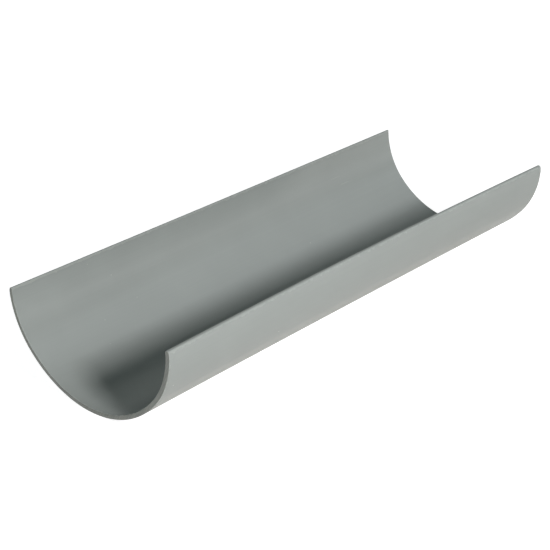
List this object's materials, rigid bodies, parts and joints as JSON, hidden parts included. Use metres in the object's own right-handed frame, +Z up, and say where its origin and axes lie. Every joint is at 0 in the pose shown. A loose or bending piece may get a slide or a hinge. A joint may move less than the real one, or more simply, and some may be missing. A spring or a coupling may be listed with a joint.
{
  "type": "half-round gutter section",
  "caption": "Short cut length of half-round rain gutter: an open plastic channel with plain rims and two square sawn ends, which carries roof water.",
  "frame": {"origin": "under the middle of the length, on the lowest line of the outside, where the channel rests on the ground", "axes": "+Y along the gutter, +X across it, +Z up through the open side"},
  "size_m": [0.112, 0.295, 0.0505],
  "materials": {
    "grey_upvc": "satin extruded uPVC, mid grey"
  },
  "bodies": {
    "root": {"gutter_channel": "grey_upvc"}
  },
  "joints": []
}
